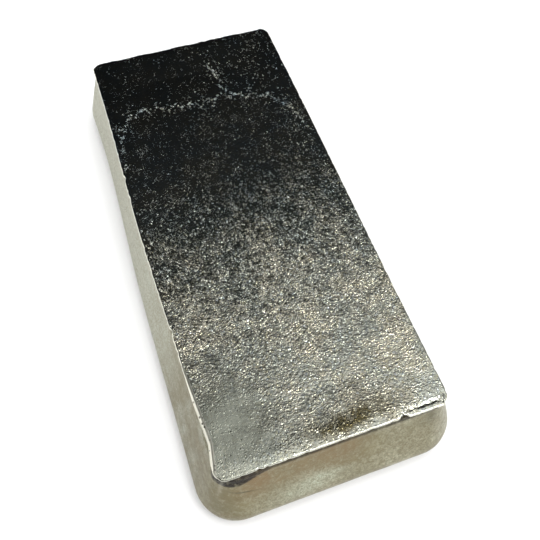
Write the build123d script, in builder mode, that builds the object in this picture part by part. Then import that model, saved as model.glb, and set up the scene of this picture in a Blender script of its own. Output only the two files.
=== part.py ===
from build123d import *
import os
from math import cos, radians, sin, sqrt, tan

# Poured silver bar, one solid casting of 1 kg.
# X runs along the bar, Y across it and Z up. The origin is under its middle, on the floor.
# It lies on its larger face. Its four flanks lean in to a smaller top face, and the top is
# edged by a thin lip of flash. The near end is at +X, and the left flank is at -Y.

# Overall size, mm. The base is measured to where the flanks would meet the floor.
base_length = 117.8
base_width = 55.7
bar_height = 18.2

# Lean of the flanks from upright, degrees
side_draft = 17.8
end_draft = 23.2

# Rounding, mm
base_corner_radius = 9.9
top_corner_radius = 3.4
bottom_edge_radius = 4.2

# Flash lip round the top: it stands out past the flanks, and most of all at its tight corners
lip_thickness = 0.6
lip_overhang = 0.35
lip_corner_radius = 2.2

# Heavier run of flash on the near end's lip, up to the right corner: how far each of its lower
# points hangs below the top, one pitch apart
flash_corner_gap = 1.4
flash_pitch = 1.45
flash_drops = (1.25, 0.95, 1.3, 0.85)
flash_overhang = 0.25

# Nick in the near end's lip, just left of the heavier flash
nick_gap = 0.15
nick_width = 1.5
nick_depth = 0.4

# Worn bevel along the left rim, at distances back from the lip's near end: it widens towards
# that end and closes before the corner
bevel_setbacks = (25.5, 7.0, 2.5)
bevel_widths = (0.1, 1.3, 0.5)
bevel_slope = 40.0

# Shrinkage hollow in the top: a level rim, a long slope and a flat floor
hollow_depth = 0.25
hollow_rim = 1.6
hollow_slope = 8.0
hollow_corner_radius = 4.0

# Waves in the plan outline, mm outwards, at a quarter, half and three quarters from the far end
wave_stations = (-0.25, 0.0, 0.25)
base_wave_left = (-1.4, -0.3, 0.0)
base_wave_right = (-0.4, 0.2, -0.1)
top_wave_left = (0.0, 0.4, -0.1)
top_wave_right = (0.1, 0.0, -0.1)

# Heights of the outlines that carry the rounded bottom edge, as shares of its radius
edge_stations = (0.0, 0.08, 0.3, 0.65, 1.0, 1.35)

# How far a cutting shape reaches past the surface that it cuts
overcut = 0.5

# Sizes that follow from those above
top_length = base_length - 2 * bar_height * tan(radians(end_draft))
top_width = base_width - 2 * bar_height * tan(radians(side_draft))
lip_underside = bar_height - lip_thickness
lip_end = top_length / 2 + lip_overhang
lip_side = top_width / 2 + lip_overhang
flash_end = lip_side - flash_corner_gap
flash_start = flash_end - flash_pitch * (len(flash_drops) + 1)
nick_centre = flash_start - nick_gap - nick_width / 2


def long_side(length, width, waves, side):
    """One long side of the plan, as points from the far corner to the near corner."""
    points = [(-length / 2, side * width / 2)]
    for station, wave in zip(wave_stations, waves):
        points.append((station * length, side * (width / 2 + wave)))
    points.append((length / 2, side * width / 2))
    return points


def wavy_outline(length, width, waves_left, waves_right, corner_radius):
    """A plan face: straight ends, gently waved long sides and round corners."""
    left = long_side(length, width, waves_left, -1)
    right = long_side(length, width, waves_right, 1)
    with BuildSketch() as outline:
        with BuildLine():
            Spline(left)
            Line(left[-1], right[-1])
            Spline(right[::-1])
            Line(right[0], left[0])
        make_face()
        fillet(outline.vertices(), corner_radius)
    return outline.sketch


def top_outline(inset, corner_radius):
    """The flanks' top edge, moved inwards by an inset, or outwards where it is negative."""
    length = top_length - 2 * inset
    width = top_width - 2 * inset
    return wavy_outline(length, width, top_wave_left, top_wave_right, corner_radius)


def flank_inset(height, draft):
    """How far in from the flank's foot the metal stands, with the bottom edge rounded."""
    slope = radians(draft)
    if height >= bottom_edge_radius * (1 + sin(slope)):
        return height * tan(slope)
    centre = bottom_edge_radius * (1 + sin(slope)) / cos(slope)
    return centre - sqrt(bottom_edge_radius**2 - (bottom_edge_radius - height) ** 2)


def body_outline(height):
    """The cast body's plan at a height: waves and corners fade from the base's to the top's."""
    share = height / bar_height
    end_inset = flank_inset(height, end_draft)
    side_inset = flank_inset(height, side_draft)
    rounded_off = side_inset - height * tan(radians(side_draft))
    corner = base_corner_radius + (top_corner_radius - base_corner_radius) * share - rounded_off
    waves_left = [low + (high - low) * share for low, high in zip(base_wave_left, top_wave_left)]
    waves_right = [low + (high - low) * share for low, high in zip(base_wave_right, top_wave_right)]
    length = base_length - 2 * end_inset
    width = base_width - 2 * side_inset
    return wavy_outline(length, width, waves_left, waves_right, corner)


def bevel_section(width):
    """The corner that the bevel takes off the left rim, as a triangle in a plane across the bar."""
    drop = width * tan(radians(bevel_slope))
    reach = overcut * (1 + 1 / tan(radians(bevel_slope)))
    rise = overcut * (1 + tan(radians(bevel_slope)))
    with BuildSketch() as section:
        with BuildLine():
            Polyline(
                (-lip_side - overcut, bar_height + overcut),
                (-lip_side + width + reach - overcut, bar_height + overcut),
                (-lip_side - overcut, bar_height - drop - rise + overcut),
                close=True,
            )
        make_face()
    return section.sketch


with BuildPart() as silver_bar:
    # Rounded bottom edge, where the metal drew back from the mould as it set
    edge_heights = [station * bottom_edge_radius for station in edge_stations]
    for height in edge_heights:
        with BuildSketch(Plane.XY.offset(height)):
            add(body_outline(height))
    loft()

    # Cast body: straight ruled flanks from there up to the top
    for height in (edge_heights[-1], bar_height):
        with BuildSketch(Plane.XY.offset(height)):
            add(body_outline(height))
    loft(ruled=True)

    # Flash lip
    with BuildSketch(Plane.XY.offset(lip_underside)):
        add(top_outline(-lip_overhang, lip_corner_radius))
    extrude(amount=lip_thickness)

    # Heavier run of flash with a ragged lower edge
    with BuildSketch(Plane.YZ.offset(top_length / 2 - lip_thickness)):
        with BuildLine():
            ragged = [(flash_start, bar_height), (flash_start, lip_underside)]
            for step, drop in enumerate(flash_drops):
                ragged.append((flash_start + flash_pitch * (step + 1), bar_height - drop))
            ragged += [(flash_end, lip_underside), (flash_end, bar_height)]
            Polyline(ragged, close=True)
        make_face()
    extrude(amount=lip_thickness + lip_overhang + flash_overhang)

    # Nick that opens from below into the lip
    with BuildSketch(Plane.YZ.offset(lip_end + overcut)):
        with BuildLine():
            Polyline(
                (nick_centre - nick_width / 2, lip_underside),
                (nick_centre, lip_underside + nick_depth),
                (nick_centre + nick_width / 2, lip_underside),
                close=True,
            )
        make_face()
    extrude(amount=-lip_overhang - overcut, mode=Mode.SUBTRACT)

    # Bevel along the left rim
    for setback, width in zip(bevel_setbacks, bevel_widths):
        with BuildSketch(Plane.YZ.offset(lip_end - setback)):
            add(bevel_section(width))
    loft(ruled=True, mode=Mode.SUBTRACT)

    # Shrinkage hollow
    with BuildSketch(Plane.XY.offset(bar_height)):
        add(top_outline(hollow_rim, hollow_corner_radius))
    with BuildSketch(Plane.XY.offset(bar_height - hollow_depth)):
        add(top_outline(hollow_rim + hollow_slope, hollow_corner_radius))
    loft(ruled=True, mode=Mode.SUBTRACT)

silver_bar.part.label = "silver_bar"

os.makedirs("parts", exist_ok=True)
export_step(silver_bar.part, "parts/silver_bar.step")
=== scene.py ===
# %% [markdown]
# # A poured silver bar
# The bar was made by pouring about a kilo of molten silver into an open iron mould. The mould gave it
# smooth flanks that lean in, and its top set in the open air, so that is rough and crystalline. The
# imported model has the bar's true form at its true size, and it stays the measure of everything here.
# What it lacks is the skin: the grain of the top, the cold shuts, the ragged rim and the tarnish.

import math

import bmesh
import bpy
import numpy as np
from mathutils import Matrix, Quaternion, Vector, noise
from mathutils.bvhtree import BVHTree


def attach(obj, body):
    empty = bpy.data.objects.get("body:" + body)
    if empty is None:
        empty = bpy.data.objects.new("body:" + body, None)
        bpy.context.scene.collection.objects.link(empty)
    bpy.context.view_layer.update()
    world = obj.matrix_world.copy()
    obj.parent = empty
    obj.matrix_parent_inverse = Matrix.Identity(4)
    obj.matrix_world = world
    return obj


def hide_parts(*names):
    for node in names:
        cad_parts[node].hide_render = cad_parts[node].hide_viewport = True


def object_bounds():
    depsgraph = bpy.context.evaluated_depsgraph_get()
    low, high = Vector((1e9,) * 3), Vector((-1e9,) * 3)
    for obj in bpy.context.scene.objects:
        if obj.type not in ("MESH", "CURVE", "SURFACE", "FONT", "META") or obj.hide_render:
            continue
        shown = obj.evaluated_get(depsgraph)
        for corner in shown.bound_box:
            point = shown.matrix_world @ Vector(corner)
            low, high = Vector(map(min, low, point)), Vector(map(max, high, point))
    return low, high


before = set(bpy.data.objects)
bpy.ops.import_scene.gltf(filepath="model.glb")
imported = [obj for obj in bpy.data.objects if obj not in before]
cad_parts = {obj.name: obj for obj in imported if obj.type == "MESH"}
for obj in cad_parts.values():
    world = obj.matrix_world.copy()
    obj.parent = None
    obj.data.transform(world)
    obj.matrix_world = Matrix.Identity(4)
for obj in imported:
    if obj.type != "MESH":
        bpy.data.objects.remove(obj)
cad_low, cad_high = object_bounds()
bar_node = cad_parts["silver_bar"]
mm = 0.001
bar_height = cad_high.z / mm
print("CAD box, mm:", [round(side / mm, 2) for side in cad_high - cad_low])

# %% [markdown]
# ## Camera
# The photograph was taken from close by, about an arm's bend above the near end, so its perspective
# is strong. The camera is placed by its distance, direction and roll from a point on the bar's top.
# A lens could be guessed, but it was worked out from how fast the rim lines run together.

# %% Place the camera
photo_width = 540
focal_length_pixels = 614.7
sensor_width = 36.0
camera_target = Vector((15.5, 0.0, 18.2)) * mm
camera_distance = 123.3 * mm
camera_azimuth = math.radians(67.74)
camera_elevation = math.radians(61.57)
camera_roll = math.radians(3.26)

towards_camera = Vector((
    math.sin(camera_azimuth) * math.cos(camera_elevation),
    -math.cos(camera_azimuth) * math.cos(camera_elevation),
    math.sin(camera_elevation),
))
camera_data = bpy.data.cameras.new("camera")
camera_data.sensor_width = sensor_width
camera_data.lens = focal_length_pixels / photo_width * sensor_width
camera_data.clip_start = 0.01
camera = bpy.data.objects.new("camera", camera_data)
bpy.context.scene.collection.objects.link(camera)
camera.location = camera_target + towards_camera * camera_distance
camera.rotation_mode = "QUATERNION"
level = (-towards_camera).to_track_quat("-Z", "Y")
camera.rotation_quaternion = level @ Quaternion((0, 0, 1), camera_roll)
bpy.context.scene.camera = camera
print("camera at, mm:", [round(value / mm, 1) for value in camera.location])

# %% [markdown]
# ## Reading the form from the frame
# The new skin has to lie on the CAD bar, so its outline isn't typed in again: it is felt for, with
# rays that start inside the bar and run outwards until they meet its wall. The rays leave from a
# plain rounded rectangle the size of the rim, evenly spaced, and each keeps its number at every
# height, so that the same ray can be followed from the lip down to the floor.

# %% Measure the rim
cad_surface = BVHTree.FromObject(bar_node, bpy.context.evaluated_depsgraph_get())
rim_height = bar_height - 0.3
grid_step = 0.28
guide_corner = 2.2
ray_start_depth = 5.0


def cast(x, y, z, direction):
    """The point where a ray from inside or above meets the CAD bar, in mm."""
    hit = cad_surface.ray_cast(Vector((x, y, z)) * mm, Vector(direction))[0]
    return np.array(hit) / mm


rim_half_length = cast(0, 0, rim_height, (1, 0, 0))[0]
rim_half_width = cast(0, 0, rim_height, (0, 1, 0))[1]
cells_long = round(2 * rim_half_length / grid_step)
cells_across = round(2 * rim_half_width / grid_step)
loop_count = 2 * (cells_long + cells_across)
print("rim, mm from the middle:", round(rim_half_length, 2), "and", round(rim_half_width, 2))


# %% Spread the rays round the rim
def guide_side(cells, half_span, half_out, along, outwards):
    """Evenly spaced points and outward normals on one side, from corner middle to corner middle."""
    half_arc = guide_corner * math.pi / 4
    straight = 2 * (half_span - guide_corner)
    run = np.linspace(0, straight + 2 * half_arc, cells + 1)[:-1]
    turn = np.where(run < half_arc, run - half_arc, np.maximum(run - half_arc - straight, 0))
    turn = turn / guide_corner
    middle = np.clip(run - half_arc, 0, straight) - straight / 2
    span = middle + guide_corner * np.sin(turn)
    out = half_out - guide_corner + guide_corner * np.cos(turn)
    along, outwards = np.array(along, float), np.array(outwards, float)
    points = span[:, None] * along + out[:, None] * outwards
    normals = np.sin(turn)[:, None] * along + np.cos(turn)[:, None] * outwards
    return points, normals


sides = [
    guide_side(cells_long, rim_half_length, rim_half_width, (1, 0), (0, -1)),
    guide_side(cells_across, rim_half_width, rim_half_length, (0, 1), (1, 0)),
    guide_side(cells_long, rim_half_length, rim_half_width, (-1, 0), (0, 1)),
    guide_side(cells_across, rim_half_width, rim_half_length, (0, -1), (-1, 0)),
]
guide_points = np.concatenate([points for points, normals in sides])
guide_normals = np.concatenate([normals for points, normals in sides])
print("rays round the rim:", loop_count, "on a rim of", round(2 * rim_half_length, 2), "mm")


# %% Feel for the wall at a height
def wall(height):
    """Where the CAD wall is at a height, as x and y for each ray, in mm."""
    found = []
    for point, normal in zip(guide_points, guide_normals):
        start = point - normal * ray_start_depth
        found.append(cast(start[0], start[1], height, (normal[0], normal[1], 0))[:2])
    return np.array(found)


def surface_height(x, y):
    """The height of the CAD top under a point, in mm."""
    return cast(x, y, bar_height + 5, (0, 0, -1))[2]


rim = wall(rim_height)
print("rim spans, mm:", np.round(rim.max(0) - rim.min(0), 2))

# %% [markdown]
# ## Random waves
# Cast metal is never flat, and its unevenness has sizes: swells of a centimetre left by the flow, and
# a grain of under a millimetre left by the crystals. Noise that keeps only waves of about one length
# gives each of them. It is made once on the grid of the top, from a fixed seed, so that every run
# gives the same bar.


# %% Waves of one length
def waves(seed, length_along, length_across, spread):
    """A field over the top's grid made of waves of about these lengths in mm, with a spread of 1."""
    white = np.random.default_rng(seed).standard_normal((cells_long + 1, cells_across + 1))
    along = np.fft.fftfreq(cells_long + 1, grid_step) * length_along
    across = np.fft.fftfreq(cells_across + 1, grid_step) * length_across
    pitch = np.hypot(along[:, None], across[None, :])
    kept = np.fft.fft2(white) * np.exp(-(((pitch - 1) / spread) ** 2))
    field = np.fft.ifft2(kept).real
    return field / field.std()


def smoothstep(value, low, high):
    """0 below low, 1 above high and an eased ramp between."""
    share = np.clip((value - low) / (high - low), 0, 1)
    return share * share * (3 - 2 * share)


print("waves have", (cells_long + 1) * (cells_across + 1), "points,", grid_step, "mm apart")

# %% [markdown]
# ## The top's grid
# The top is one fine grid whose edge is the rim. Its inner points are blended from the four edges, as
# a sheet stretched in a frame would be, which keeps the cells nearly square up to the round corners.

# %% Stretch the grid between the rim's four sides
edge_inset = 0.34
top_edge = rim - guide_normals * edge_inset
corner_at = [0, cells_long, cells_long + cells_across, 2 * cells_long + cells_across]


def edge_run(first, cells):
    """The rim's points from one corner to the next, both included."""
    return top_edge[np.arange(first, first + cells + 1) % loop_count]


left_edge = edge_run(corner_at[0], cells_long)
near_edge = edge_run(corner_at[1], cells_across)
right_edge = edge_run(corner_at[2], cells_long)[::-1]
far_edge = edge_run(corner_at[3], cells_across)[::-1]
u = np.linspace(0, 1, cells_long + 1)[:, None, None]
v = np.linspace(0, 1, cells_across + 1)[None, :, None]
top_plan = (1 - v) * left_edge[:, None] + v * right_edge[:, None]
top_plan += (1 - u) * far_edge[None, :] + u * near_edge[None, :]
top_plan -= (1 - u) * ((1 - v) * left_edge[0] + v * right_edge[0])
top_plan -= u * ((1 - v) * left_edge[-1] + v * right_edge[-1])
top_x = top_plan[:, :, 0]
top_y = top_plan[:, :, 1]
cad_top = np.array([[surface_height(x, y) for x, y in row] for row in top_plan])
print("top plan:", top_x.shape, "CAD height from", cad_top.min().round(3), "to", cad_top.max().round(3))

# %% [markdown]
# ## Relief of the top
# The far third set first and smooth. Over the rest the crystals stood up as the silver shrank between
# them, as short worms that lie across the bar. Cold shuts are the lines where two tongues of metal
# met without quite melting together: low broken ridges.

# %% Cold shuts and their distance
cold_shut_across = [(-29.5, -21.5), (-29.5, -19), (-32, -17.5), (-33.5, -15), (-32.5, -6), (-31.5, 0),
                    (-32.5, 5.5), (-29.5, 15), (-25.5, 18.5), (-18, 20.5)]
cold_shut_branch = [(-43.5, 4.5), (-38.5, 5.5), (-33.5, 6)]
shrinkage_crack = [(24.7, -2.7), (24.4, -1.7), (24.0, -0.8)]


def distance_to_line(x, y, line):
    """How far points lie from a bent line, in mm."""
    nearest = np.full(x.shape, np.inf)
    for (ax, ay), (bx, by) in zip(line, line[1:]):
        share = ((x - ax) * (bx - ax) + (y - ay) * (by - ay)) / ((bx - ax) ** 2 + (by - ay) ** 2)
        share = np.clip(share, 0, 1)
        away_x = x - ax - share * (bx - ax)
        away_y = y - ay - share * (by - ay)
        nearest = np.minimum(nearest, np.hypot(away_x, away_y))
    return nearest


shut_spans = np.diff(np.array(cold_shut_across), axis=0)
print("long cold shut, mm:", round(float(np.hypot(*shut_spans.T).sum()), 1))

# %% [markdown]
# ### One height map
# Everything that rises or sinks on the top is added up into one height for each grid point: swells and
# patches from the flow, worms of crystals, the ridge of each cold shut and a short shrinkage crack. A
# displaced subdivision would do it too, but here each part keeps its own size in millimetres. The
# heights fade out at the rim, and never rise above the CAD top.

# %% Heights of the top's skin
swell = waves(11, 9.0, 8.0, 0.5)
patch = waves(12, 4.2, 3.4, 0.45)
worms = waves(13, 0.75, 0.85, 0.4)
wander = waves(14, 3.0, 3.0, 0.6) * 0.35
breaks = smoothstep(waves(15, 0.9, 0.9, 0.5), -0.2, 0.9)

far_liveliness = 0.22
liveliness = far_liveliness + (1 - far_liveliness) * smoothstep(top_x + 0.15 * top_y, -32, 4)
calm_corner = np.exp(-(((top_x - 43.5) / 10) ** 2 + ((top_y + 17.5) / 8) ** 2) ** 2)
liveliness *= 1 - 0.85 * calm_corner
seam_half_width = 0.33
branch_half_width = 0.3
crack_half_width = 0.22
seam = np.exp(-(((distance_to_line(top_x, top_y, cold_shut_across) + wander) / seam_half_width) ** 2))
branch = np.exp(-(((distance_to_line(top_x, top_y, cold_shut_branch) + wander) / branch_half_width) ** 2))
seam = np.maximum(seam, 0.7 * branch)
crack = np.exp(-((distance_to_line(top_x, top_y, shrinkage_crack) / crack_half_width) ** 2))
swell_size = 0.010
patch_size = 0.006
worm_size = 0.014
seam_height = 0.035
crack_depth = 0.12
relief = (swell_size * swell + patch_size * patch) * (0.4 + 0.6 * liveliness)
relief += worm_size * worms * liveliness
relief += seam_height * seam * breaks - crack_depth * crack
print("relief before the groove, mm:", relief.min().round(3), "to", relief.max().round(3))

# %% The groove in the flash, and the fade at the rim
groove_depth = 0.16
groove_setback = 1.05
groove_half_width = 0.22
rim_fade = 0.9
skin_depth = 0.04
flash_run = smoothstep(top_y, 13.6, 14.6) * (1 - smoothstep(top_y, 19.5, 20.8))
groove_wander = 0.12 * waves(16, 1.6, 1.6, 0.5)
groove_distance = rim_half_length - top_x - groove_setback + groove_wander
groove = np.exp(-((groove_distance / groove_half_width) ** 2)) * flash_run
edge_distance = np.minimum(rim_half_length - np.abs(top_x), rim_half_width - np.abs(top_y))
relief *= smoothstep(edge_distance, 0.0, rim_fade)
relief -= groove_depth * groove
top_z = np.minimum(cad_top - skin_depth + relief, cad_top)
print("relief, mm:", relief.min().round(3), "to", relief.max().round(3))

# %% [markdown]
# ## The rim and the flanks
# Below the top's edge the skin goes on down as rings, one ray to each point: over the thin lip of
# flash, in under it, down the flank and round the bottom edge to the floor. The rings are close
# together where the form turns quickly, and the lip's edge is nibbled a little, as flash tears.

# %% Rows, tears and nicks
# Over the lip a row is its inset from the rim and its drop below the top, under it the drop comes first,
# and down the flank there is only the drop
lip_rows = [(0.15, 0.05), (0.04, 0.13), (0.0, 0.28)]
under_lip_rows = [(0.47, 0.0), (0.56, 0.05), (0.595, 0.14)]
flank_rows = [0.63, 0.8, 1.0, 1.2, 1.4, 1.65, 1.9, 2.2, 2.5, 2.8, 3.1, 3.35, 4.2, 5.4, 6.8, 8.4, 10.2, 11.8,
              12.9, 13.8, 14.7, 15.5, 16.2, 16.8, 17.3, 17.7, 18.0, 18.17]
base_inset = 0.6
tear_size = 0.18
far_tear_size = 0.16
# Each nick: its place, how wide it is and how deep
rim_nicks = [(-15.8, -22.6, 0.5, 0.35), (22.1, -22.3, 0.45, 0.35), (51.4, -14.5, 0.35, 0.25),
             (51.4, -13.1, 0.3, 0.2), (51.6, 12.9, 0.55, 0.75), (-51.3, 2.8, 1.1, 0.4),
             (-51.3, 17.0, 1.5, 0.5), (-51.3, -5.5, 2.6, 0.45), (-51.3, -14.5, 1.8, 0.3)]

rim_x, rim_y = rim.T
torn = np.array([noise.fractal(Vector((x, y, 3.7)) * 0.9, 1.0, 2.0, 3) for x, y in rim])
torn = (tear_size + far_tear_size * smoothstep(-rim_x, 48, 50)) * np.clip(torn, 0, 1)
for nick_x, nick_y, width, depth in rim_nicks:
    torn += depth * np.exp(-(((rim_x - nick_x) ** 2 + (rim_y - nick_y) ** 2) / width ** 2))


def heights_inside(plan, step_inside=0.02):
    """The CAD top's height just inside each point of a ring, in mm."""
    return np.array([surface_height(x, y) for x, y in plan - guide_normals * step_inside])


lip_share = smoothstep(heights_inside(rim), bar_height - 0.15, bar_height - 0.05)
print("lip torn by up to, mm:", round(float(torn.max()), 2))

# %% Rings from the lip to the floor
rings = []
for inset, drop in lip_rows:
    plan = rim - guide_normals * (inset + torn)[:, None]
    rings.append(np.column_stack([plan, heights_inside(plan) - drop * lip_share]))
for drop, inset in under_lip_rows:
    plan = wall(bar_height - drop) - guide_normals * ((inset + torn) * lip_share)[:, None]
    rings.append(np.column_stack([plan, np.full(loop_count, bar_height - drop)]))
for drop in flank_rows:
    plan = wall(bar_height - drop)
    rings.append(np.column_stack([plan, np.full(loop_count, bar_height - drop)]))
floor_ring = rings[-1].copy()
floor_ring[:, :2] -= guide_normals * base_inset
floor_ring[:, 2] = 0
rings.append(floor_ring)
print("rings:", len(rings))

# %% [markdown]
# ### The mould's unevenness
# An iron mould that has held many pours is not flat. Each point of the flanks is pushed in a little, by
# a noise whose waves are about a centimetre long. The first rows under the lip are left alone, so that
# the lip keeps its overhang.

# %% Let the mould's unevenness into the flanks
first_uneven = len(lip_rows) + len(under_lip_rows) + 6
push = 0.05
push_range = 0.06
deepest = 0
for ring in rings[first_uneven:-1]:
    for index in range(loop_count):
        x, y, z = ring[index]
        uneven = noise.fractal(Vector((x * 0.09, y * 0.09, z * 0.16)), 1.0, 2.0, 2)
        depth = push + push_range * uneven
        ring[index, :2] -= guide_normals[index] * depth
        deepest = max(deepest, depth)
print("flanks pushed in by up to, mm:", round(deepest, 3))

# %% [markdown]
# ## The mesh
# One operator gives the grid, and one more, used again and again, extrudes its edge into the rings.
# Each boundary point carries its ray's number in a layer, and the extruded copies inherit it, so each
# one knows its place.

# %% The top as a grid
bm = bmesh.new()
ray_number = bm.verts.layers.int.new("ray")
ring_number = bm.verts.layers.int.new("ring")
bmesh.ops.create_grid(bm, x_segments=cells_long, y_segments=cells_across, size=1)
bm.verts.ensure_lookup_table()
grid_low = min(vert.co.x for vert in bm.verts)
grid_span = max(vert.co.x for vert in bm.verts) - grid_low
for vert in bm.verts:
    i = round((vert.co.x - grid_low) / grid_span * cells_long)
    j = round((vert.co.y - grid_low) / grid_span * cells_across)
    if j == 0:
        vert[ray_number] = i
    elif i == cells_long:
        vert[ray_number] = corner_at[1] + j
    elif j == cells_across:
        vert[ray_number] = corner_at[2] + cells_long - i
    elif i == 0:
        vert[ray_number] = corner_at[3] + cells_across - j
    vert.co = Vector((top_x[i, j], top_y[i, j], top_z[i, j])) * mm
print("top grid:", len(bm.faces), "faces")

# %% Extrude the edge into the rings and close the base
edge = [e for e in bm.edges if e.is_boundary]
for number, ring in enumerate(rings, start=1):
    made = bmesh.ops.extrude_edge_only(bm, edges=edge)["geom"]
    new_verts = {item for item in made if isinstance(item, bmesh.types.BMVert)}
    for vert in new_verts:
        vert.co = Vector(ring[vert[ray_number]]) * mm
        vert[ring_number] = number
    edge = [item for item in made if isinstance(item, bmesh.types.BMEdge)
            and item.verts[0] in new_verts and item.verts[1] in new_verts]
bmesh.ops.contextual_create(bm, geom=edge)
bmesh.ops.recalc_face_normals(bm, faces=bm.faces)
for face in bm.faces:
    face.smooth = True
print("faces with the flanks and the base:", len(bm.faces))

# %% [markdown]
# The extrusion hands its new parts back in an order that changes from run to run. They are sorted by
# their place here, so that each run stores the same mesh.


# %% Put the points, edges and faces in a fixed order
def point_place(vert):
    """The grid's points keep their order, and the rings' points follow, ray by ray."""
    if vert[ring_number] == 0:
        return vert.index
    return top_points + vert[ring_number] * loop_count + vert[ray_number]


def corner_place(item):
    """An edge or face goes by its lowest corner, and then by its highest."""
    numbers = [vert.index for vert in item.verts]
    return min(numbers) * len(bm.verts) + max(numbers)


bm.verts.index_update()
top_points = (cells_long + 1) * (cells_across + 1)
bm.verts.sort(key=point_place)
bm.verts.index_update()
bm.edges.sort(key=corner_place)
bm.faces.sort(key=corner_place)
print("points in order:", len(bm.verts), "of which in the top grid:", top_points)

# %% The skin as an object
skin_mesh = bpy.data.meshes.new("cast_skin")
bm.to_mesh(skin_mesh)
bm.free()
cast_skin = bpy.data.objects.new("cast_skin", skin_mesh)
bpy.context.scene.collection.objects.link(cast_skin)
triangles = sum(len(face.vertices) - 2 for face in skin_mesh.polygons)
print("cast_skin triangles:", triangles)

# %% [markdown]
# ## Nodes and colours
# A Blender material is a graph of nodes. One small function adds a node, gives it its settings and
# joins it to the nodes before it, which keeps the recipes below short. Colours are written as the
# sRGB hex codes that a picture shows, and turned to the linear light values that the shader needs.


# %% Colours and nodes
def linear(code):
    """An sRGB hex colour as linear RGBA."""
    parts = [int(code[i:i + 2], 16) / 255 for i in (1, 3, 5)]
    return [c / 12.92 if c <= 0.04045 else ((c + 0.055) / 1.055) ** 2.4 for c in parts] + [1]


def add_node(tree, kind, inputs=(), **settings):
    """Adds a node with its settings. An input is a value, a socket, or a node's first output."""
    made = tree.nodes.new(kind)
    for name, value in settings.items():
        setattr(made, name, value)
    for name, value in dict(inputs).items():
        named = [socket for socket in made.inputs if socket.name == name and socket.enabled]
        socket = named[0] if named else made.inputs[name]
        if isinstance(value, bpy.types.Node):
            value = next(output for output in value.outputs if output.enabled)
        if isinstance(value, bpy.types.NodeSocket):
            tree.links.new(value, socket)
        else:
            socket.default_value = value
    return made


print("mid grey in linear light:", round(linear("#808080")[0], 3))

# %% [markdown]
# ## Where the skin differs
# Fine silver doesn't rust, but it takes a thin brown tarnish where it was handled, and it shows how
# it cooled. These places are worked out at each point of the skin and kept on the mesh as attributes.
# A painted picture could say the same, but numbers at the points need no unwrapping. Every place is in
# millimetres: smoothstep(x, 44, 54) is 0 up to x = 44 and 1 from x = 54 on, near the bar's near end.


# %% Distances and spots
def soft_spot(centre, radii):
    """1 at a place on the bar, fading outwards. All in mm."""
    away = (points - np.array(centre)) / np.array(radii)
    return np.exp(-(away ** 2).sum(1))


def add_mark(name, values):
    """Keeps one number for each point of the skin, for the material to read."""
    values = np.clip(np.asarray(values, np.float32), 0, 1)
    skin_mesh.attributes.new(name, "FLOAT", "POINT").data.foreach_set("value", values)
    marks.append(name)
    print("mark", name, "covers", round(float(values.mean()) * 100, 1), "% of the points")


marks = []
co = np.empty(len(skin_mesh.vertices) * 3)
skin_mesh.vertices.foreach_get("co", co)
points = co.reshape(-1, 3) / mm
x, y, z = points.T
ring_of = np.empty(len(points), np.int32)
skin_mesh.attributes["ring"].data.foreach_get("value", ring_of)
print("points:", len(points))

# %% Top, lip and flanks
flank_share = smoothstep(ring_of, len(lip_rows), len(lip_rows) + 2)
on_top = 1 - flank_share
near_end = smoothstep(x, 44, 54) * flank_share
left_flank = smoothstep(-y, 18, 23) * flank_share
add_mark("on_top", on_top)
add_mark("near_end", near_end)
add_mark("far_end", 1 - smoothstep(x, -25, 30))

# %% [markdown]
# ### The rim and its bevel
# The left rim was rubbed down to a narrow bevel near the near end. It is paler than the top, because
# rubbed silver is scratched all ways and scatters light, and it keeps a few pores from the casting.
# The thin edge of the lip is rubbed in the same way all round.

# %% Rubbed silver
bevel_x = [26.0, 44.7, 49.2, 51.0]
bevel_width = [0.1, 1.3, 0.5, 0.2]
bevel_edge = rim_half_width - np.interp(x, bevel_x, bevel_width, left=0)
bevel = smoothstep(-y - bevel_edge, -0.4, -0.1) * on_top * (x > 24)
near_corner = smoothstep(x, 47.5, 50) * (1 - smoothstep(y, -19, -12)) * smoothstep(y, -24, -22.8)
lip_edge = (0.8 * (ring_of == 2) + 0.4 * (ring_of == 3)) * (1 - 0.9 * near_corner)
add_mark("bevel", bevel)
add_mark("lip_edge", lip_edge)

# %% [markdown]
# ### Where the crystals stand
# The crystals hardly stand up at the far end, stand highest past the middle and nearly vanish in the
# calm left corner of the near end. The cold shuts are lines of coarse broken crystals, so the distance
# to them is bent by two waves and sprinkled with random specks.

# %% Distance from the cold shuts
shut_x = x + 0.5 * np.sin(1.7 * y) + 0.3 * np.sin(4.1 * y + 1)
seam_distance = np.minimum(distance_to_line(shut_x, y, cold_shut_across),
                           distance_to_line(x, y + 0.4 * np.sin(1.9 * x), cold_shut_branch))
specks = np.random.default_rng(17).random(len(points)) ** 2
spatter = distance_to_line(x, y, [(-27.5, -20.5), (-17.5, -21.5)])
print("points on the cold shuts:", int((seam_distance < 0.3).sum()))

# %% Grain
calm = np.exp(-(((x - 43.5) / 10) ** 2 + ((y + 17.5) / 9) ** 2) ** 1.3)
far_grain = 0.03
middle_grain = 0.035
near_grain = 0.64
grain_lost_near = 0.42
shut_grain = 0.5
calm_grain_lost = 0.8
grain = far_grain + middle_grain * smoothstep(x, -34, -22)
grain += near_grain * smoothstep(x + 0.15 * y, -13, 34)
grain *= 1 - grain_lost_near * smoothstep(x, 12, 42)
grain += shut_grain * specks * np.exp(-((seam_distance / 0.32) ** 2))
rim_distance = np.minimum(rim_half_length - np.abs(x), rim_half_width - np.abs(y))
grain *= 0.5 + 0.5 * smoothstep(rim_distance, 0.2, 0.8)
grain *= (1 - calm_grain_lost * calm) * (1 - bevel) * on_top
add_mark("grain", grain)
add_mark("calm", calm * on_top)

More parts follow.
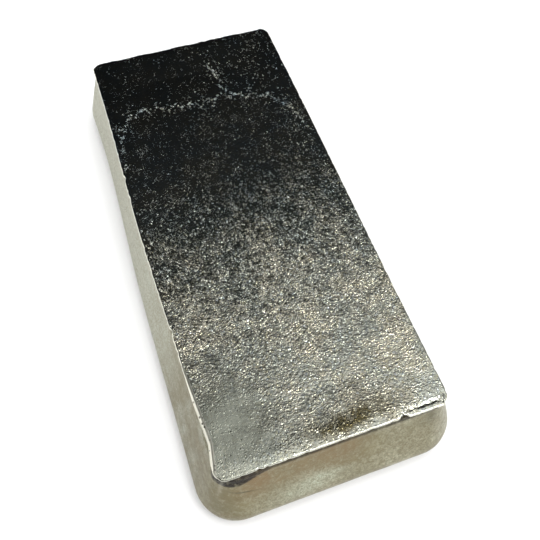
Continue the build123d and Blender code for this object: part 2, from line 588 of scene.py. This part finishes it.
# %% Crystals that flash, and worms
shut_sparkle = 0.7
spatter_sparkle = 0.6
halo_sparkle = 0.14
far_right_sparkle = 0.08
middle_sparkle = 0.42
sparkle = shut_sparkle * np.exp(-((seam_distance / 0.35) ** 2))
sparkle += spatter_sparkle * np.exp(-((spatter / 0.5) ** 2))
sparkle += halo_sparkle * np.exp(-((seam_distance / 2.2) ** 2))
sparkle += far_right_sparkle * smoothstep(y, 2, 12) * smoothstep(-x, 28, 36)
sparkle += middle_sparkle * smoothstep(x, -18, 14) * (1 - smoothstep(x, 25, 50))
add_mark("sparkle", sparkle * on_top * (1 - bevel) * (1 - 0.6 * calm))
add_mark("worm_share", (0.25 + 0.75 * smoothstep(x, -8, 25)) * (1 - 0.8 * calm))

# %% [markdown]
# ### Tarnish, wiped places and painted shade under the lip
# Brown tarnish lies along the near rim, over the near end and on the near part of the left flank. A pale
# patch in it looks wiped, a band above that is redder, and painted shade lies in the corner under the lip,
# for its shadow. Each is a soft spot or a ramp, and the material breaks them up later, so that none looks
# sprayed on.

# %% Tarnish on the top and on the near end
# Each stain: how strong it is, where it lies and how far it reaches
top_stains = [(1.0, (48.9, 1.5, 18), (2.0, 5.5, 3)), (0.65, (48.2, 8.0, 18), (2.4, 4.5, 3)),
              (0.4, (49.0, -5.0, 18), (2.0, 4.0, 3)), (0.16, (44.5, 6.0, 18), (6, 9, 3))]
end_stains = [(0.85, (54, 1.0, 13), (6, 4.5, 3.4)), (0.35, (54, 16.5, 15), (6, 3.5, 3))]
end_band = 0.75 * smoothstep(z, 7, 17) * smoothstep(y, -24, -12) * (1 - smoothstep(y, 4, 14))
end_film = 0.35 - 0.3 * smoothstep(y, 4, 14)
tarnish = sum(strength * soft_spot(*spot) for strength, *spot in top_stains) * on_top
tarnish += sum(strength * soft_spot(*spot) for strength, *spot in end_stains) * near_end
tarnish += (end_band + end_film) * near_end
tarnish += left_flank * (0.15 + smoothstep(x, 6, 44))
tarnish += 0.6 * soft_spot((53, -22, 6), (8, 6, 12)) * flank_share
wiped = near_end * soft_spot((55, -3.5, 9.5), (8, 5.5, 2.6))
wiped += 0.8 * near_end * soft_spot((55, -8.5, 7), (8, 5, 2.2))
red_band = smoothstep(z, 8, 15) * smoothstep(y, -23, -15) * (1 - smoothstep(y, 0, 9))
add_mark("tarnish", tarnish * (1 - wiped))
add_mark("wiped", wiped)
add_mark("red_brown", 0.8 * near_end * red_band * (1 - wiped))

# %% Smudges, and painted shade under the lip
smudge = 0.45 * soft_spot((48.4, 0.4, 18), (1.5, 3.2, 2)) * on_top
smudge += 0.5 * soft_spot((53, 18.5, 15.5), (4, 1.8, 1.8)) * near_end
smudge += 0.28 * smoothstep(x, 15, 45) * left_flank
# Painted shade: a dark band under the lip for the lip's shadow, deepest at the near left corner, and on the
# lip itself at the near end
lip_shade_depth = 1.4 + 1.85 * near_corner
under_lip = smoothstep(z - bar_height + lip_shade_depth, -0.1, 0.2) * flank_share
under_lip *= smoothstep(x, 47.5, 49.5) * (0.8 + 0.2 * near_corner)
on_lip = (ring_of >= 1) * (ring_of <= len(lip_rows))
under_lip += 0.45 * on_lip * smoothstep(x, 49, 51) * (1 - smoothstep(y, 10, 13))
add_mark("smudge", smudge)
add_mark("under_lip", under_lip)

# %% Painted highlight on the corner's ridge, two scratches, and where the crease's painted shade goes
ridge_line = [(51.1, -21.4), (51.9, -22.3), (52.9, -23.3)]
scratches = [[(32.0, 3.1), (37.0, 2.5)], [(45.4, -9.6), (44.9, -6.7)]]
# Painted highlight: a pale line along the near left corner's ridge; the two scratches are real pale marks
ridge_highlight = np.exp(-((distance_to_line(x, y, ridge_line) / 0.35) ** 2)) * flank_share * smoothstep(z, 10, 14)
scratch = np.minimum(*[distance_to_line(x, y, line) for line in scratches])
add_mark("scratch_and_ridge_highlight", 0.15 * ridge_highlight + 0.6 * np.exp(-((scratch / 0.2) ** 2)) * on_top)
# Where the crease's dark line of painted shade is drawn
add_mark("crease", near_end * soft_spot((53, -18.3, 13), (3, 2.8, 1.5)))

# %% [markdown]
# ## The silver
# The whole skin is one metal, fine silver as it came from the mould. Its metallic value is 1 and its
# IOR keeps the default, because a metal's colour is its reflection. What gives it its look is how the
# light breaks on it: the top is a mass of crystals, so it glitters, and the flanks took the fine pits
# of the iron mould, so they are satin. The pattern scales below are real sizes in millimetres.

# %% Places and patterns
silver = bpy.data.materials.new("as_cast_silver")
silver.use_nodes = True
tree = silver.node_tree
tree.nodes.clear()
place = add_node(tree, "ShaderNodeTexCoord").outputs["Object"]
mark = {name: add_node(tree, "ShaderNodeAttribute", attribute_name=name).outputs["Fac"] for name in marks}

# A texture's scale is how many times it repeats in a metre, so it is 1 over the real size
clump_size = 2.6 * mm
blotch_size = 7.0 * mm
mottle_size = 1.1 * mm
drag_width = 0.9 * mm
drag_stretch = (0.12, 1.0, 0.45)
clumps = add_node(tree, "ShaderNodeTexNoise", {
    "Vector": place, "Scale": 1 / clump_size, "Detail": 2.0, "Roughness": 0.6})
blotches = add_node(tree, "ShaderNodeTexNoise", {
    "Vector": place, "Scale": 1 / blotch_size, "Detail": 3.0, "Roughness": 0.65})
mottle = add_node(tree, "ShaderNodeTexNoise", {
    "Vector": place, "Scale": 1 / mottle_size, "Detail": 4.0, "Roughness": 0.7})
flow = add_node(tree, "ShaderNodeMapping", {"Vector": place, "Scale": drag_stretch})
drag = add_node(tree, "ShaderNodeTexNoise", {"Vector": flow, "Scale": 1 / drag_width, "Detail": 3.0})
print("marks read by the silver:", len(mark))

# %% [markdown]
# ### Crystals of the top
# Each crystal froze as a small dome about a third of a millimetre across, and many run together into
# short winding worms. The domes are Voronoi cells, squared so that they are round and not pointed, and
# each cell's own random colour says how high it stands. The worms are the contour lines of a smooth
# noise: a ping-pong folds its slopes into ridge after ridge.

# %% Domes and worms
dome_width = 0.34 * mm
worm_wave = 1.08 * mm
crystal_width = 0.22 * mm
bend = 0.22 * mm
bend_wave = 0.7 * mm
worm_fold = 0.07
bending = add_node(tree, "ShaderNodeTexNoise", {"Vector": place, "Scale": 1 / bend_wave, "Detail": 1.0})
bent_place = add_node(tree, "ShaderNodeMix", {
    "Factor": bend, "A": place, "B": bending.outputs["Color"]}, data_type="VECTOR", clamp_factor=False)
cells = add_node(tree, "ShaderNodeTexVoronoi", {"Vector": bent_place, "Scale": 1 / dome_width})
cell_pick = add_node(tree, "ShaderNodeSeparateColor", {"Color": cells.outputs["Color"]})
domes = add_node(tree, "ShaderNodeMath", {
    0: cells.outputs["Distance"], 1: cells.outputs["Distance"]}, operation="MULTIPLY")
worm_slopes = add_node(tree, "ShaderNodeTexNoise", {
    "Vector": place, "Scale": 1 / worm_wave, "Detail": 2.0, "Roughness": 0.55})
worm_ridges = add_node(tree, "ShaderNodeMath", {0: worm_slopes, 1: worm_fold}, operation="PINGPONG")
crystals = add_node(tree, "ShaderNodeTexNoise", {
    "Vector": place, "Scale": 1 / crystal_width, "Detail": 1.0})
print("domes", round(dome_width / mm, 2), "mm, worms", round(worm_wave / mm, 2), "mm")

# %% How high they stand
# A high power makes most domes low and a few high
height_contrast = 4.0
clumping = add_node(tree, "ShaderNodeMapRange", {
    "Value": clumps, "From Min": 0.38, "From Max": 0.62, "To Min": 0.4, "To Max": 1.25})
clouds = add_node(tree, "ShaderNodeMapRange", {
    "Value": blotches, "From Min": 0.36, "From Max": 0.60, "To Min": 0.55, "To Max": 1.15})
gathered = add_node(tree, "ShaderNodeMath", {0: clumping, 1: clouds}, operation="MULTIPLY")
standing = add_node(tree, "ShaderNodeMath", {0: mark["grain"], 1: gathered}, operation="MULTIPLY")
few_high = add_node(tree, "ShaderNodeMath", {
    0: cell_pick.outputs["Blue"], 1: height_contrast}, operation="POWER")
dome_size = add_node(tree, "ShaderNodeMapRange", {
    "Value": few_high, "From Min": 0.0, "From Max": 1.0, "To Min": -0.28, "To Max": -3.6})
print("nodes for the crystals' heights:", len(tree.nodes))

# %% Heights of domes, worms and fine crystals
dome_scale = add_node(tree, "ShaderNodeMath", {0: dome_size, 1: standing}, operation="MULTIPLY")
dome_height = add_node(tree, "ShaderNodeMath", {0: domes, 1: dome_scale}, operation="MULTIPLY")
not_calm = add_node(tree, "ShaderNodeMapRange", {
    "Value": mark["calm"], "From Min": 0.0, "From Max": 1.0, "To Min": 1.0, "To Max": 0.2})
worm_standing = add_node(tree, "ShaderNodeMath", {0: standing, 1: mark["worm_share"]}, operation="MULTIPLY")
worm_height = add_node(tree, "ShaderNodeMath", {0: worm_ridges, 1: worm_standing}, operation="MULTIPLY")
crystal_height = add_node(tree, "ShaderNodeMath", {0: crystals, 1: standing}, operation="MULTIPLY")
print("height maps on the top: domes, worms and crystals")

# %% [markdown]
# ### Crystals that flash
# Here and there one crystal lies so that it throws the lamp straight at the eye. Small Voronoi cells
# stand for them, and only those whose random green passes a mark stand up. The sparkle mark lowers
# that bar, so that more of them flash along the cold shuts and over the middle of the top.

# %% Single crystals
flash_width = 0.29 * mm
flash_from = 0.972
sparkle_gain = 0.35
flash_cells = add_node(tree, "ShaderNodeTexVoronoi", {"Vector": place, "Scale": 1 / flash_width})
flash_colour = add_node(tree, "ShaderNodeSeparateColor", {"Color": flash_cells.outputs["Color"]})
flash_pick = add_node(tree, "ShaderNodeMath", {
    0: mark["sparkle"], 1: sparkle_gain, 2: flash_colour.outputs["Green"]}, operation="MULTIPLY_ADD")
flash_tilt = add_node(tree, "ShaderNodeMapRange", {
    "Value": flash_pick, "From Min": flash_from, "From Max": 1.085, "To Min": 0.0, "To Max": -1.6})
flash_dome = add_node(tree, "ShaderNodeMath", {
    0: flash_cells.outputs["Distance"], 1: flash_cells.outputs["Distance"]}, operation="MULTIPLY")
flash_height = add_node(tree, "ShaderNodeMath", {0: flash_dome, 1: flash_tilt}, operation="MULTIPLY")
flash_on_top = add_node(tree, "ShaderNodeMath", {0: flash_height, 1: mark["on_top"]}, operation="MULTIPLY")
share_least = 100 * (1 - flash_from)
print("crystals that flash, %:", round(share_least, 1), "to", round(share_least + 100 * sparkle_gain, 1))

# %% [markdown]
# ### From heights to bumps
# A bump node tilts the shading by a height and leaves the mesh as it is, which suits relief that is finer
# than the mesh. Each one takes the normal from the one before, so that they add up.

# %% Bumps of the top
dome_relief = 0.11 * mm
worm_relief = 0.6 * mm
crystal_relief = 0.045 * mm
flash_relief = 0.1 * mm
flash_bump = add_node(tree, "ShaderNodeBump", {"Height": flash_on_top, "Distance": flash_relief})
dome_bump = add_node(tree, "ShaderNodeBump", {
    "Height": dome_height, "Distance": dome_relief, "Normal": flash_bump})
worm_bump = add_node(tree, "ShaderNodeBump", {
    "Height": worm_height, "Distance": worm_relief, "Normal": dome_bump})
crystal_bump = add_node(tree, "ShaderNodeBump", {
    "Height": crystal_height, "Distance": crystal_relief, "Normal": worm_bump})
print("dome relief", round(dome_relief / mm, 3), "mm, crystal relief", round(crystal_relief / mm, 3), "mm")

# %% [markdown]
# ### Mould marks on the flanks
# The flanks are as smooth as the mould was: fine pits a third of a millimetre across, and faint marks
# that run lengthwise, where the metal dragged along the iron as it shrank. Both are noise, and the marks
# are noise that is stretched along the bar.

# %% Bumps of the flanks
pit_width = 0.35 * mm
pit_relief = 0.08 * mm
drag_relief = 0.025 * mm
pits = add_node(tree, "ShaderNodeTexNoise", {
    "Vector": place, "Scale": 1 / pit_width, "Detail": 3.0, "Roughness": 0.7})
off_top = add_node(tree, "ShaderNodeMath", {0: 1.0, 1: mark["on_top"]}, operation="SUBTRACT")
pit_height = add_node(tree, "ShaderNodeMath", {0: pits, 1: off_top}, operation="MULTIPLY")
pit_bump = add_node(tree, "ShaderNodeBump", {
    "Height": pit_height, "Distance": pit_relief, "Normal": crystal_bump})
drag_bump = add_node(tree, "ShaderNodeBump", {
    "Height": drag, "Distance": drag_relief, "Normal": pit_bump})
print("pits", round(pit_width / mm, 2), "mm across")

# %% [markdown]
# ### Colours of the silver
# Clean silver is nearly white, faintly warm. Single crystals look blue or straw-coloured, because a
# film of tarnish thinner than light's wavelength tints each one by its lie. The far end is cooler, and
# the flanks are greyer than the top, because their pits hold a little dirt.

# %% Colour of the top
tint_share = add_node(tree, "ShaderNodeMapRange", {"Value": blotches, "From Min": 0.36, "From Max": 0.62})
warm_top = add_node(tree, "ShaderNodeMix", {
    "Factor": tint_share, "A": linear("#dbdfd2"), "B": linear("#e7e4d0")}, data_type="RGBA")
cool_top = add_node(tree, "ShaderNodeMix", {
    "Factor": tint_share, "A": linear("#bfced3"), "B": linear("#d3d6cd")}, data_type="RGBA")
plain_top = add_node(tree, "ShaderNodeMix", {
    "Factor": mark["far_end"], "A": warm_top, "B": cool_top}, data_type="RGBA")
calm_top = add_node(tree, "ShaderNodeMix", {
    "Factor": mark["calm"], "A": plain_top, "B": linear("#cbcfbf")}, data_type="RGBA")
fleck_colour = add_node(tree, "ShaderNodeMix", {
    "Factor": cell_pick.outputs["Red"], "A": linear("#b0c2d8"), "B": linear("#efe6ae")}, data_type="RGBA")
fleck_most = 0.35
fleck_share = add_node(tree, "ShaderNodeMapRange", {
    "Value": cell_pick.outputs["Green"], "From Min": 0.3, "From Max": 1.0,
    "To Min": 0.0, "To Max": fleck_most})
fleck_here = add_node(tree, "ShaderNodeMath", {0: fleck_share, 1: not_calm}, operation="MULTIPLY")
top_colour = add_node(tree, "ShaderNodeMix", {
    "Factor": fleck_here, "A": calm_top, "B": fleck_colour}, data_type="RGBA")
print("a fleck hides up to", round(fleck_most * 100), "% of the colour under it")

# %% Colour of the flanks and the near end
flank_colour = add_node(tree, "ShaderNodeMix", {
    "Factor": drag, "A": linear("#a7a999"), "B": linear("#bfc1b1")}, data_type="RGBA")
end_share = add_node(tree, "ShaderNodeMapRange", {"Value": blotches, "From Min": 0.40, "From Max": 0.60})
end_plain = add_node(tree, "ShaderNodeMix", {
    "Factor": end_share, "A": linear("#99957c"), "B": linear("#b4b29a")}, data_type="RGBA")
speckle = add_node(tree, "ShaderNodeMapRange", {
    "Value": mottle, "From Min": 0.43, "From Max": 0.62, "To Min": 0.0, "To Max": 0.75})
end_colour = add_node(tree, "ShaderNodeMix", {
    "Factor": speckle, "A": end_plain, "B": linear("#7a7156")}, data_type="RGBA")
flank_speckle = add_node(tree, "ShaderNodeMath", {0: speckle, 1: 0.3}, operation="MULTIPLY")
speckled_flank = add_node(tree, "ShaderNodeMix", {
    "Factor": flank_speckle, "A": flank_colour, "B": linear("#8b8872")}, data_type="RGBA")
side_colour = add_node(tree, "ShaderNodeMix", {
    "Factor": mark["near_end"], "A": speckled_flank, "B": end_colour}, data_type="RGBA")
print("nodes so far:", len(tree.nodes))

# %% Wiped patch and dirty pits
wiped_share = add_node(tree, "ShaderNodeMapRange", {
    "Value": mottle, "From Min": 0.3, "From Max": 0.6, "To Min": 1.0, "To Max": 0.55})
wiped_here = add_node(tree, "ShaderNodeMath", {0: mark["wiped"], 1: wiped_share}, operation="MULTIPLY")
wiped_colour = add_node(tree, "ShaderNodeMix", {
    "Factor": wiped_here, "A": side_colour, "B": linear("#b9bda9")}, data_type="RGBA")
pit_dirt = add_node(tree, "ShaderNodeMapRange", {
    "Value": pits, "From Min": 0.42, "From Max": 0.62, "To Min": 0.0, "To Max": 0.7})
pitted_colour = add_node(tree, "ShaderNodeMix", {
    "Factor": pit_dirt, "A": wiped_colour, "B": linear("#6d6850")}, data_type="RGBA")
bare_colour = add_node(tree, "ShaderNodeMix", {
    "Factor": mark["on_top"], "A": pitted_colour, "B": top_colour}, data_type="RGBA")
print("nodes with the flanks' colours:", len(tree.nodes))

# %% [markdown]
# ### Tarnish, painted shade and rubbed places
# Tarnish is brown and broken into blotches, and a dark painted shade lies under the lip, for the lip's
# shadow.
# The rubbed rim is laid over them, because rubbing takes tarnish away. Pores in the bevel are small
# Voronoi cells of which only the middles show.

# %% Tarnish
brown = add_node(tree, "ShaderNodeMix", {
    "Factor": clumps, "A": linear("#655a3e"), "B": linear("#8b8566")}, data_type="RGBA")
blotchy = add_node(tree, "ShaderNodeMapRange", {
    "Value": blotches, "From Min": 0.34, "From Max": 0.56, "To Min": 0.25, "To Max": 1.0})
speckled = add_node(tree, "ShaderNodeMapRange", {
    "Value": mottle, "From Min": 0.3, "From Max": 0.6, "To Min": 0.5, "To Max": 1.15})
stain_break = add_node(tree, "ShaderNodeMath", {0: blotchy, 1: speckled}, operation="MULTIPLY")
stain_share = add_node(tree, "ShaderNodeMath", {0: mark["tarnish"], 1: stain_break}, operation="MULTIPLY")
stained = add_node(tree, "ShaderNodeMix", {
    "Factor": stain_share, "A": bare_colour, "B": brown}, data_type="RGBA")
red_brown_share = add_node(tree, "ShaderNodeMath", {
    0: mark["red_brown"], 1: stain_break}, operation="MULTIPLY")
reddened = add_node(tree, "ShaderNodeMix", {
    "Factor": red_brown_share, "A": stained, "B": linear("#836f52")}, data_type="RGBA")
print("nodes with the tarnish:", len(tree.nodes))

# %% Smudges, and painted shade under the lip
smudge_break = add_node(tree, "ShaderNodeMapRange", {
    "Value": clumps, "From Min": 0.35, "From Max": 0.6, "To Min": 0.2, "To Max": 1.0})
smudge_share = add_node(tree, "ShaderNodeMath", {0: mark["smudge"], 1: smudge_break}, operation="MULTIPLY")
smudged = add_node(tree, "ShaderNodeMix", {
    "Factor": smudge_share, "A": reddened, "B": linear("#2e2a22")}, data_type="RGBA")
# Painted shade: the band under the lip is mixed to a dark brown, for the lip's shadow
lip_shade_break = add_node(tree, "ShaderNodeMapRange", {
    "Value": mottle, "From Min": 0.35, "From Max": 0.5, "To Min": 0.55, "To Max": 1.0})
lip_shade_share = add_node(tree, "ShaderNodeMath", {0: mark["under_lip"], 1: lip_shade_break}, operation="MULTIPLY")
lip_shaded = add_node(tree, "ShaderNodeMix", {
    "Factor": lip_shade_share, "A": smudged, "B": linear("#231e18")}, data_type="RGBA")
print("nodes with the dirt:", len(tree.nodes))

# %% [markdown]
# ### Crease and its painted shade
# Below the near left corner the skin folded as it set, and left a fine line that slopes down along the
# end. It is too fine for the mesh, so the material draws it: a height that falls with each millimetre
# across the bar, and a dark line of painted shade, for the shadow in the fold, where the surface is at that
# height.

# %% Painted shade of the crease below the near left corner
crease_slope = 0.27
crease_height = 8.07 * mm
place_parts = add_node(tree, "ShaderNodeSeparateXYZ", {"Vector": place})
fold_height = add_node(tree, "ShaderNodeMath", {
    0: place_parts.outputs["Y"], 1: crease_slope, 2: place_parts.outputs["Z"]}, operation="MULTIPLY_ADD")
fold_away = add_node(tree, "ShaderNodeMath", {0: fold_height, 1: crease_height}, operation="SUBTRACT")
fold_distance = add_node(tree, "ShaderNodeMath", {0: fold_away}, operation="ABSOLUTE")
# Painted shade: a dark line along the fold, for the shadow in the crease
fold_shade_line = add_node(tree, "ShaderNodeMapRange", {
    "Value": fold_distance, "From Min": 0.08 * mm, "From Max": 0.3 * mm, "To Min": 0.75, "To Max": 0.0})
fold_shade_share = add_node(tree, "ShaderNodeMath", {0: fold_shade_line, 1: mark["crease"]}, operation="MULTIPLY")
crease_shaded = add_node(tree, "ShaderNodeMix", {
    "Factor": fold_shade_share, "A": lip_shaded, "B": linear("#4f4a38")}, data_type="RGBA")
print("crease falls by", crease_slope, "mm for each mm across")

# %% Rubbed rim, scratches, the ridge's painted highlight and pores
pore_spacing = 0.9 * mm
rubbed = add_node(tree, "ShaderNodeMath", {0: mark["bevel"], 1: mark["lip_edge"]}, operation="MAXIMUM")
# The ridge's pale line laid on here is a painted highlight, together with the rubbed rim and the scratches
rubbed_and_highlit = add_node(tree, "ShaderNodeMath", {0: rubbed, 1: mark["scratch_and_ridge_highlight"]}, operation="MAXIMUM")
pale = add_node(tree, "ShaderNodeMix", {
    "Factor": rubbed_and_highlit, "A": crease_shaded, "B": linear("#f0eede")}, data_type="RGBA")
pore_cells = add_node(tree, "ShaderNodeTexVoronoi", {"Vector": place, "Scale": 1 / pore_spacing})
pore_spot = add_node(tree, "ShaderNodeMapRange", {
    "Value": pore_cells, "From Min": 0.18, "From Max": 0.27, "To Min": 0.9, "To Max": 0.0})
pore_share = add_node(tree, "ShaderNodeMath", {0: pore_spot, 1: mark["bevel"]}, operation="MULTIPLY")
silver_colour = add_node(tree, "ShaderNodeMix", {
    "Factor": pore_share, "A": pale, "B": linear("#3a362e")}, data_type="RGBA")
print("pores about", round(pore_spacing / mm, 2), "mm apart")

# %% [markdown]
# ### The shader
# Roughness says how wide a surface scatters a reflection. The top is the smoothest, so its crystals
# flash. The calm corner and the rubbed rim are rougher, and the flanks, which took the mould's finish,
# are the roughest.

# %% Roughness and shader
top_roughness = 0.11
flank_roughness = 0.40
calm_roughening = 0.10
rubbed_roughening = 0.2
side_roughness = add_node(tree, "ShaderNodeMapRange", {
    "Value": mark["on_top"], "From Min": 0.0, "From Max": 1.0,
    "To Min": flank_roughness, "To Max": top_roughness})
calm_roughness = add_node(tree, "ShaderNodeMath", {
    0: mark["calm"], 1: calm_roughening, 2: side_roughness}, operation="MULTIPLY_ADD")
roughness = add_node(tree, "ShaderNodeMath", {
    0: rubbed, 1: rubbed_roughening, 2: calm_roughness}, operation="MULTIPLY_ADD")
metal = add_node(tree, "ShaderNodeBsdfPrincipled", {
    "Base Color": silver_colour, "Metallic": 1.0, "Roughness": roughness, "Normal": drag_bump})
add_node(tree, "ShaderNodeOutputMaterial", {"Surface": metal})
skin_mesh.materials.append(silver)
print("nodes in the silver:", len(tree.nodes))

# %% [markdown]
# ## The skin takes the bar's place
# The bar has no moving part, so the skin rides on the root body. It stands for the CAD bar, which is
# hidden but still does the work in the simulation.

# %% Put the skin in the CAD bar's place
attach(cast_skin, "root")
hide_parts("silver_bar")
print("cast_skin stands for silver_bar")

# %% [markdown]
# ## Floor
# The bar lies on plain white paper. A flat sheet a metre or so across is enough, because the white
# world goes on where it ends. The paper is matt, so it only takes the bar's soft shadow.

# %% White paper
floor_half_size = 0.6
floor_mesh = bpy.data.meshes.new("floor")
bm = bmesh.new()
bmesh.ops.create_grid(bm, x_segments=1, y_segments=1, size=floor_half_size)
bm.to_mesh(floor_mesh)
bm.free()
floor = bpy.data.objects.new("floor", floor_mesh)
bpy.context.scene.collection.objects.link(floor)
paper = bpy.data.materials.new("white_paper")
paper.use_nodes = True
paper.node_tree.nodes.clear()
matt = add_node(paper.node_tree, "ShaderNodeBsdfDiffuse", {"Color": linear("#f4f4f4")})
add_node(paper.node_tree, "ShaderNodeOutputMaterial", {"Surface": matt})
floor_mesh.materials.append(paper)
print("floor, m across:", floor_mesh.vertices[3].co.x - floor_mesh.vertices[0].co.x)

# %% [markdown]
# ## World
# A mirror shows what is round it, and so does silver. The room is white up to a low height, then dark,
# with a soft glow overhead that leans to the near end. The near end of the top mirrors the glow and
# looks pale, and the far end mirrors the dark between and looks nearly black, as in the photograph. The
# glow is highest at a limit just over white, so that the top doesn't clip much from above.

# %% Sky
world = bpy.data.worlds.new("studio")
bpy.context.scene.world = world
world.use_nodes = True
sky = world.node_tree
sky.nodes.clear()
lamp_direction = Vector((0.34, 0.28, 1.0)).normalized()
glow_focus = 5.5
glow_strength = 1.72
glow_limit = 1.05
haze_strength = 0.014
room_white = 1.0
room_dark = 0.008
direction = add_node(sky, "ShaderNodeTexCoord").outputs["Generated"]
closeness = add_node(sky, "ShaderNodeVectorMath", {
    0: direction, 1: lamp_direction}, operation="DOT_PRODUCT")
glow_range = add_node(sky, "ShaderNodeMapRange", {
    "Value": closeness.outputs["Value"], "From Min": 0.58, "From Max": 0.92})
glow = add_node(sky, "ShaderNodeMath", {0: glow_range, 1: glow_focus}, operation="POWER")
height_above = add_node(sky, "ShaderNodeSeparateXYZ", {"Vector": direction}).outputs["Z"]
backdrop = add_node(sky, "ShaderNodeMapRange", {
    "Value": height_above, "From Min": 0.15, "From Max": 0.5, "To Min": room_white, "To Max": room_dark},
    interpolation_type="SMOOTHSTEP")
haze = add_node(sky, "ShaderNodeMapRange", {
    "Value": closeness.outputs["Value"], "From Min": 0.44, "From Max": 0.60,
    "To Min": 0.0, "To Max": haze_strength})
dim_light = add_node(sky, "ShaderNodeMath", {0: haze, 1: backdrop}, operation="ADD")
glow_level = add_node(sky, "ShaderNodeMath", {0: glow, 1: glow_strength}, operation="MULTIPLY")
capped_glow = add_node(sky, "ShaderNodeMath", {0: glow_level, 1: glow_limit}, operation="MINIMUM")
brightness = add_node(sky, "ShaderNodeMath", {0: capped_glow, 1: dim_light}, operation="ADD")
background = add_node(sky, "ShaderNodeBackground", {"Color": linear("#ffffff"), "Strength": brightness})
add_node(sky, "ShaderNodeOutputWorld", {"Surface": background})
print("glow towards:", [round(value, 2) for value in lamp_direction])

# %% [markdown]
# ## Lamps
# Three soft boxes do what a plain studio has: the key box overhead draws sharp glints from the
# crystals, the side box lifts the left rim, and a large one whitens the paper. That last one is kept
# out of reflections, or it would fill the dark part of the sky.


# %% Soft boxes
def add_soft_box(name, place, width, height, radiance):
    """A rectangular lamp aimed at the bar, by how bright its face is."""
    data = bpy.data.lights.new(name, "AREA")
    data.shape = "RECTANGLE"
    data.size = width
    data.size_y = height
    data.energy = radiance * math.pi * width * height
    lamp = bpy.data.objects.new(name, data)
    lamp.location = place
    lamp.rotation_mode = "QUATERNION"
    lamp.rotation_quaternion = (-Vector(place)).to_track_quat("-Z", "Y")
    bpy.context.scene.collection.objects.link(lamp)
    print(name, "radiance", radiance)
    return lamp


key_distance = 0.7
add_soft_box("key_box", lamp_direction * key_distance, width=0.18, height=0.18, radiance=10.0)
add_soft_box("side_box", (-0.20, -0.55, 0.28), width=0.6, height=0.3, radiance=0.75)
paper_box = add_soft_box("paper_box", (-0.1, 0.1, 1.4), width=2.2, height=2.2, radiance=2.0)
paper_box.visible_glossy = False

# %% [markdown]
# ## Finish
# The Standard view shows a colour as it is written. The skin must not grow past the bar.

# %% View
bpy.context.scene.view_settings.view_transform = "Standard"
